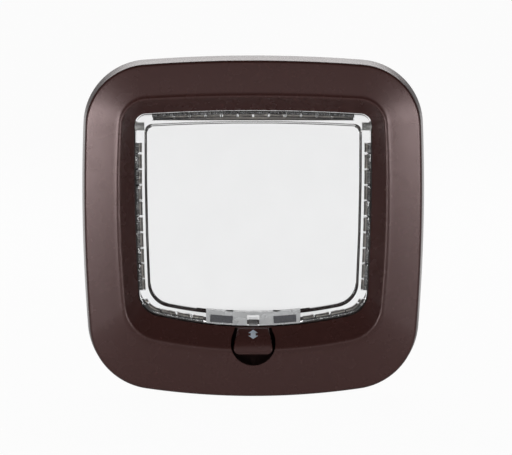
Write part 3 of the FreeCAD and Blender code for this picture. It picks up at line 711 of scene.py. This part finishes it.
def turned_steel():
    """Plain steel with fine streaks."""
    material, shader, place = new_material("turned_steel")
    links = material.node_tree.links
    streaks = noise(material, place, scale=700.0, detail=5.0)
    links.new(ramp(material, streaks, (0.46, 0.46, 0.47), (0.62, 0.62, 0.63)),
              shader.inputs["Base Color"])
    links.new(ramp(material, streaks, 0.25, 0.42), shader.inputs["Roughness"])
    shader.inputs["Metallic"].default_value = 1.0
    return material


def plain_moulding(name, colour, roughness, gloss=0.5):
    """Matt moulded plastic for the small inner pieces."""
    material, shader, place = new_material(name)
    links = material.node_tree.links
    mottle = noise(material, place, scale=160.0, detail=3.0)
    links.new(ramp(material, mottle, shade(colour, 0.9), shade(colour, 1.1)),
              shader.inputs["Base Color"])
    links.new(ramp(material, mottle, roughness - 0.05, roughness + 0.05),
              shader.inputs["Roughness"])
    shader.inputs["Specular IOR Level"].default_value = gloss
    grain = noise(material, place, scale=1800.0)
    bump(material, shader, grain, height=0.00002, strength=0.3)
    return material


def finish(name):
    """A finished material by name, made once."""
    if name in bpy.data.materials:
        return bpy.data.materials[name]
    finishes = bpy.context.scene.flap_finishes
    makers = {
        "moulded_brown": moulded_brown,
        "clear_polycarbonate": clear_polycarbonate,
        "frosted_carrier": frosted_carrier,
        "nylon_pile": nylon_pile,
        "ferrite": ferrite,
        "turned_steel": lambda _: turned_steel(),
    }
    plain = {
        "white_acetal": dict(colour=(0.68, 0.68, 0.66), roughness=0.4),
        "black_acetal": dict(colour=(0.012, 0.011, 0.011), roughness=0.5),
        "printed_mark": dict(colour=finishes.mark, roughness=0.45),
        "brush_spine": dict(colour=finishes.spine, roughness=0.5),
        # Nearly black trim brown: painted shade in the lock's pocket; the roughness is the
        # moulding's texture
        "rough_pocket_painted_shade": dict(colour=shade(finishes.trim, 0.12), roughness=0.85, gloss=0.08),
        # Half-dark trim brown: painted shade in the throat round the flap; the roughness is the
        # moulding's texture
        "rough_throat_painted_shade": dict(colour=shade(finishes.trim, 0.5), roughness=0.85, gloss=0.08),
    }
    return plain_moulding(name, **plain[name]) if name in plain else makers[name](finishes)


# Pieces

class CATFLAP_OT_stage(bpy.types.Operator):
    """Add the floor, the lamps, the surroundings and the camera"""
    bl_idname = "catflap.stage"
    bl_label = "Stage"

    def execute(self, context):
        stage = context.scene.flap_stage
        self.add_floor()
        self.add_surroundings()
        left_place, right_place = Vector((-0.95, -1.55, -0.13)), Vector((0.95, -1.55, -0.13))
        back_place = Vector((0, 1.1, 0.75))
        self.add_lamp("side_lamp", left_place, stage.left_lamp_power, width=0.8, height=0.6)
        self.add_lamp("side_lamp", right_place, stage.right_lamp_power, width=0.8, height=0.6)
        self.add_lamp("back_lamp", back_place, stage.back_lamp_power, width=1.6, height=0.6)
        self.add_camera(stage)
        return {"FINISHED"}

    def add_floor(self):
        """Pale floor that is white to the camera, through the clear flap and in the gloss."""
        drop, white_share, front_gloss = 0.0002, 0.965, 0.3
        deselect()
        bpy.ops.mesh.primitive_plane_add(size=8, location=(0, 0, CAD_BOX[0].z - drop))
        floor = settle(bpy.context.object)
        floor.name = "floor"
        material, shader, place = new_material("pale_floor")
        tree = material.node_tree
        shades = ramp(material, noise(material, place, scale=3.0), (0.78,) * 3, (0.8,) * 3)
        tree.links.new(shades, shader.inputs["Base Color"])
        shader.inputs["Roughness"].default_value = 0.8
        white = tree.nodes.new("ShaderNodeEmission")
        rays = tree.nodes.new("ShaderNodeLightPath")
        split = tree.nodes.new("ShaderNodeSeparateXYZ")
        tree.links.new(place, split.inputs["Vector"])
        aside = calculate(tree, "ABSOLUTE", split.outputs["X"])
        narrow = map_range(tree, aside, start=0.3, end=0.16)
        behind = map_range(tree, split.outputs["Y"], start=0.25, end=0.42)
        sheet = calculate(tree, "MULTIPLY", narrow, behind)
        through = calculate(tree, "MULTIPLY", rays.outputs["Is Transmission Ray"], sheet)
        mirrored = calculate(tree, "MULTIPLY", rays.outputs["Is Glossy Ray"],
                             calculate(tree, "MAXIMUM", behind, front_gloss))
        seen = calculate(tree, "MAXIMUM", rays.outputs["Is Camera Ray"], through)
        seen = calculate(tree, "MAXIMUM", seen, mirrored)
        share = calculate(tree, "MULTIPLY", seen, white_share)
        mix_shaders(tree, share, shader.outputs["BSDF"], white.outputs["Emission"],
                    tree.nodes["Material Output"])
        set_material(floor, material)

    def add_surroundings(self):
        """White behind the object, and dimmer studio walls in front of it."""
        world = bpy.data.worlds.new("studio")
        bpy.context.scene.world = world
        world.use_nodes = True
        tree = world.node_tree
        tree.nodes.clear()
        output = tree.nodes.new("ShaderNodeOutputWorld")
        white = tree.nodes.new("ShaderNodeBackground")
        room = tree.nodes.new("ShaderNodeBackground")
        for background in (white, room):
            background.inputs["Color"].default_value = (1, 1, 1, 1)
        place = tree.nodes.new("ShaderNodeTexCoord")
        split = tree.nodes.new("ShaderNodeSeparateXYZ")
        tree.links.new(place.outputs["Generated"], split.inputs["Vector"])
        depth = map_range(tree, split.outputs["Y"], start=0.2, end=0.9, low=0.11, high=0.34)
        front = map_range(tree, split.outputs["Y"], start=-0.75, end=-0.95, high=0.3)
        height = map_range(tree, split.outputs["Z"], start=0.35, end=0.6, low=1.0, high=0.1)
        walls = calculate(tree, "MULTIPLY", calculate(tree, "ADD", depth, front), height)
        tree.links.new(walls, room.inputs["Strength"])
        rays = tree.nodes.new("ShaderNodeLightPath")
        ahead = map_range(tree, split.outputs["Y"], start=0.93, end=0.985)
        through = calculate(tree, "MULTIPLY", rays.outputs["Is Transmission Ray"], ahead)
        seen = calculate(tree, "MAXIMUM", rays.outputs["Is Camera Ray"], through)
        mix_shaders(tree, seen, room.outputs["Background"], white.outputs["Background"], output)

    def add_lamp(self, name, place, power, width, height):
        """Soft box that is turned towards the object."""
        deselect()
        bpy.ops.object.light_add(type="AREA", location=place)
        lamp = bpy.context.object
        lamp.name = name
        lamp.data.shape = "RECTANGLE"
        lamp.data.size = width
        lamp.data.size_y = height
        lamp.data.energy = power
        lamp.rotation_euler = (-place).to_track_quat("-Z", "Y").to_euler()

    def add_camera(self, stage):
        """Camera in front of the object, a little above it."""
        elevation = stage.camera_elevation
        back = Vector((0, -math.cos(elevation), math.sin(elevation)))
        deselect()
        bpy.ops.object.camera_add(location=back * stage.camera_distance)
        camera = bpy.context.object
        camera.rotation_euler = (-back).to_track_quat("-Z", "Y").to_euler()
        camera.data.lens = stage.camera_lens
        camera.data.sensor_width = 36
        camera.data.shift_x = 0.0055
        camera.data.shift_y = -0.0027
        camera.data.clip_end = 50
        bpy.context.scene.camera = camera
        bpy.context.scene.view_settings.view_transform = "Standard"


class CATFLAP_OT_finishes(bpy.types.Operator):
    """Give the small CAD pieces their materials"""
    bl_idname = "catflap.finishes"
    bl_label = "Finishes of the small pieces"

    def execute(self, context):
        by_finish = {
            "turned_steel": ["hinge_pin_left", "hinge_pin_right", "frame_screw_1",
                             "frame_screw_2", "frame_screw_3", "frame_screw_4"],
            "white_acetal": ["hinge_bush_left", "hinge_bush_right"],
            "black_acetal": ["lock_slide", "lock_cover"],
            "ferrite": ["flap_magnet_left", "flap_magnet_right",
                        "sill_magnet_left", "sill_magnet_right"],
            "moulded_brown": ["rear_frame"],
        }
        for name, nodes in by_finish.items():
            for node in nodes:
                set_material(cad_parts[node], finish(name))
        return {"FINISHED"}


class CATFLAP_OT_trim(bpy.types.Operator):
    """Make the smooth outer frame and the inner frame"""
    bl_idname = "catflap.trim"
    bl_label = "Frames"

    def execute(self, context):
        for node in ("front_frame", "rear_frame"):
            trim = soft_copy(node, node + "_moulding", MOULDING_SHARP)
            if node == "front_frame":
                dress_front(trim)
            else:
                set_material(trim, finish("moulded_brown"))
            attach(trim, "frame")
            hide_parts(node)
        return {"FINISHED"}


class CATFLAP_OT_flap(bpy.types.Operator):
    """Make the clear flap and its magnet carrier"""
    bl_idname = "catflap.flap"
    bl_label = "Clear flap"

    def execute(self, context):
        for node, name, slot in (("flap_panel", "clear_polycarbonate", "clear_panel"),
                                 ("magnet_carrier", "frosted_carrier", "clear_carrier"),
                                 ("lock_keeper", "clear_polycarbonate", "clear_carrier")):
            piece = soft_copy(node, node + "_clear", CLEAR_SHARP)
            join_flats(piece)
            set_material(piece, finish(name))
            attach(piece, "flap")
            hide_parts(node)
        return {"FINISHED"}


class CATFLAP_OT_knob(bpy.types.Operator):
    """Make the lock's knob and the arrow on it"""
    bl_idname = "catflap.knob"
    bl_label = "Lock knob"

    def execute(self, context):
        knob = soft_copy("lock_knob", "lock_knob_moulding", KNOB_SHARP)
        self.round_edges(knob)
        set_material(knob, finish("moulded_brown"))
        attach(knob, "latch")
        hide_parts("lock_knob")
        self.add_arrow()
        return {"FINISHED"}

    def round_edges(self, knob):
        """Rounds the knob's outer edges, which the solid has sharp."""
        join_flats(knob)
        mesh = knob.data
        front_end, rim_half = KNOB_HIGH.y - 0.3 * MM, 8.5 * MM
        rim_foot, rim_top = KNOB_LOW.z + 0.5 * MM, KNOB_HIGH.z - 0.3 * MM
        sharp = math.radians(30)
        beside = {}
        for polygon in mesh.polygons:
            for key in polygon.edge_keys:
                beside.setdefault(key, []).append(polygon)
        chosen = []
        for edge in mesh.edges:
            start, end = (mesh.vertices[at].co for at in edge.vertices)
            middle = (start + end) / 2
            pair = beside.get(tuple(sorted(edge.vertices)), [])
            if len(pair) != 2 or max(start.y, end.y) > front_end:
                continue
            turned = pair[0].normal.angle(pair[1].normal, 0)
            outside = pair[0].normal.dot(pair[1].center - pair[0].center) < 0
            rim = abs(middle.x) > rim_half or middle.z < rim_foot or middle.z > rim_top
            if turned > sharp and outside and rim:
                chosen.append(edge.index)
        choose(knob, "EDGE", chosen)
        bpy.ops.mesh.bevel(offset=bpy.context.scene.flap_sizes.knob_round, segments=3,
                           affect="EDGES", clamp_overlap=True)
        bpy.ops.object.mode_set(mode="OBJECT")
        shade_by_angle(knob, ROUNDED_KNOB_SHARP)
        keep_flats_flat(knob)

    def add_arrow(self):
        """Double arrow printed on the slope of the knob."""
        sizes = bpy.context.scene.flap_sizes
        slope_top = Vector((0, KNOB_HIGH.y - 1.8 * MM, KNOB_HIGH.z))
        slope_foot = Vector((0, KNOB_LOW.y + 1.6 * MM, KNOB_HIGH.z - 7.8 * MM))
        rise, lift, thickness = 0.2 * MM, 0.03 * MM, 0.08 * MM
        neck_share, head_share = 0.52, 0.3
        up = (slope_top - slope_foot).normalized()
        across = Vector((1, 0, 0))
        out = up.cross(across).normalized()
        if out.y > 0:
            out = -out
        middle = (slope_top + slope_foot) / 2 + up * rise
        half_w, half_h = sizes.arrow_width / 2, sizes.arrow_height / 2
        neck, head = half_w * neck_share, half_h * head_share
        side = [(0, half_h), (half_w, head), (neck, head), (neck, -head), (half_w, -head),
                (0, -half_h)]
        outline = side + [(-u, v) for u, v in reversed(side[1:-1])]
        points = [middle + across * u + up * v + out * lift for u, v in outline]
        arrow = add_object("knob_arrow", points, [list(range(len(points)))])
        edit_whole(arrow, bpy.ops.mesh.extrude_region_move,
                   TRANSFORM_OT_translate={"value": out * thickness})
        turn_faces_outwards(arrow)
        set_material(arrow, finish("printed_mark"))
        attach(arrow, "latch")


class CATFLAP_OT_brushes(bpy.types.Operator):
    """Make the brushes along the flap's edge, bristle by bristle"""
    bl_idname = "catflap.brushes"
    bl_label = "Brushes"

    def execute(self, context):
        bristle = self.model_bristle()
        for number, node in enumerate(BRUSHES):
            low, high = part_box(node)
            pile = new_piece(node + "_pile", *self.bristles(bristle, number, low, high))
            set_material(pile, finish("nylon_pile"))
            low_y, high_y = low.y / MM, high.y / MM
            spine = new_piece(node + "_spine", *self.strips(
                node, low, high, CHANNEL_DEPTH - SPINE_SEAT, SPINE_DEPTH, low_y, high_y))
            set_material(spine, finish("brush_spine"))
            thread = new_piece(node + "_thread", *self.strips(
                node, low, high, CHANNEL_DEPTH - THREAD_LOW, CHANNEL_DEPTH - THREAD_HIGH,
                low_y - THREAD_PROUD, low_y + THREAD_SUNK))
            set_material(thread, finish("nylon_pile"))
            pick(pile)
            spine.select_set(True)
            thread.select_set(True)
            bpy.ops.object.join()
            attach(pile, "flap")
            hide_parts(node)
        return {"FINISHED"}

    def model_bristle(self):
        """One tapered bristle of unit length along Z, as its points and faces."""
        width = bpy.context.scene.flap_sizes.bristle_width
        deselect()
        bpy.ops.mesh.primitive_cone_add(vertices=3, radius1=width / 2, radius2=width / 5,
                                        depth=1, location=(0, 0, 0.5))
        model = settle(bpy.context.object)
        points = [vertex.co.copy() for vertex in model.data.vertices]
        faces = [tuple(polygon.vertices) for polygon in model.data.polygons]
        bpy.data.objects.remove(model)
        return points, faces

    def along(self, low, high, step):
        """Places along the flap's edge whose channel lies within the CAD brush's box."""
        well_inside = CHANNEL_DEPTH - 0.6
        for point, out in walk(FLAP, step):
            deep = (point - out * well_inside) * MM
            if low.x < deep.x < high.x and low.z < deep.y < high.z:
                yield point, out

    def bristles(self, bristle, number, low, high):
        """Points and faces of one brush's bristles, each leaning and ending a little apart."""
        sizes = bpy.context.scene.flap_sizes
        seeded = random.Random(FIRST_SEED + number)
        shift, sideways_lean, forward_lean, shortest = 0.2, 0.05, 0.03, 0.35
        root_depth = (SPINE_DEPTH + 0.1) * MM
        middle_y = (low.y + high.y) / 2
        points, faces = [], []
        for point, out in self.along(low, high, sizes.bristle_pitch / MM):
            outward = Vector((out.x, 0, out.y))
            sideways = outward.cross(Vector((0, 1, 0)))
            for row in range(sizes.bristle_rows):
                share = (row + 0.5) / sizes.bristle_rows - 0.5
                root = Vector((point.x, 0, point.y)) * MM - outward * root_depth
                root.y = middle_y + share * PILE_WIDTH * MM
                root += sideways * seeded.uniform(-shift, shift) * MM
                lean = outward + sideways * seeded.gauss(0, sideways_lean)
                lean.y += seeded.gauss(0, forward_lean)
                length = (SPINE_DEPTH + TIP_REACH - seeded.uniform(0, shortest)) * MM
                turn = Matrix.Rotation(seeded.uniform(0, math.tau), 4, "Z")
                aim = lean.to_track_quat("Z", "Y").to_matrix().to_4x4()
                place = (Matrix.Translation(root) @ aim @ turn
                         @ Matrix.Diagonal((1, 1, length, 1)))
                first = len(points)
                points.extend(place @ spot for spot in bristle[0])
                faces.extend(tuple(first + at for at in face) for face in bristle[1])
        return points, faces

    def near_pip(self, node, place):
        """Whether one of the flap's small ribs pinches the brush at a place along it."""
        if node == "brush_top":
            reach = place.x
        elif node in ("brush_left", "brush_right"):
            reach = place.y - SIDE_PIP_START
        else:
            reach = (abs(place.x) - BOTTOM_PIP_START) * BOTTOM_PIP_STRETCH
        count = reach / PIP_PITCH
        return abs(count - round(count)) * PIP_PITCH < PIP_HALF

    def strips(self, node, low, high, deep, shallow, front, back):
        """Points and faces of a strip in the channel, in lengths between the ribs."""
        points, faces, before = [], [], None
        step = 0.5
        for point, out in self.along(low, high, step):
            if self.near_pip(node, point):
                before = None
                continue
            ring = []
            for inset, y in ((deep, front), (deep, back), (shallow, back), (shallow, front)):
                spot = point - out * inset
                ring.append(len(points))
                points.append(Vector((spot.x, y, spot.y)) * MM)
            if before is None:
                faces.append(tuple(ring))
            else:
                for at in range(4):
                    faces.append((before[at], before[(at + 1) % 4], ring[(at + 1) % 4], ring[at]))
            before = ring
        return points, faces


class CATFLAP_PT_panel(bpy.types.Panel):
    """Sidebar panel with the cat flap's pieces"""
    bl_idname = "CATFLAP_PT_panel"
    bl_label = "Cat flap"
    bl_space_type = "VIEW_3D"
    bl_region_type = "UI"
    bl_category = "Cat flap"

    def draw(self, context):
        column = self.layout.column()
        for group in (context.scene.flap_finishes, context.scene.flap_sizes,
                      context.scene.flap_stage):
            for name in group.bl_rna.properties.keys():
                if name not in ("rna_type", "name"):
                    column.prop(group, name)
            column.separator()
        for operator in OPERATORS:
            column.operator(operator.bl_idname)


GROUPS = (("flap_finishes", FlapFinishes), ("flap_sizes", FlapSizes),
          ("flap_stage", StageSettings))
OPERATORS = (CATFLAP_OT_stage, CATFLAP_OT_finishes, CATFLAP_OT_trim, CATFLAP_OT_flap,
             CATFLAP_OT_knob, CATFLAP_OT_brushes)


def register():
    for name, group in GROUPS:
        bpy.utils.register_class(group)
        setattr(bpy.types.Scene, name, bpy.props.PointerProperty(type=group))
    for cls in OPERATORS + (CATFLAP_PT_panel,):
        bpy.utils.register_class(cls)


def unregister():
    for cls in reversed(OPERATORS + (CATFLAP_PT_panel,)):
        bpy.utils.unregister_class(cls)
    for name, group in reversed(GROUPS):
        delattr(bpy.types.Scene, name)
        bpy.utils.unregister_class(group)


def main():
    register()
    bpy.ops.catflap.stage()
    bpy.ops.catflap.finishes()
    bpy.ops.catflap.trim()
    bpy.ops.catflap.flap()
    bpy.ops.catflap.knob()
    bpy.ops.catflap.brushes()


if __name__ == "__main__":
    main()
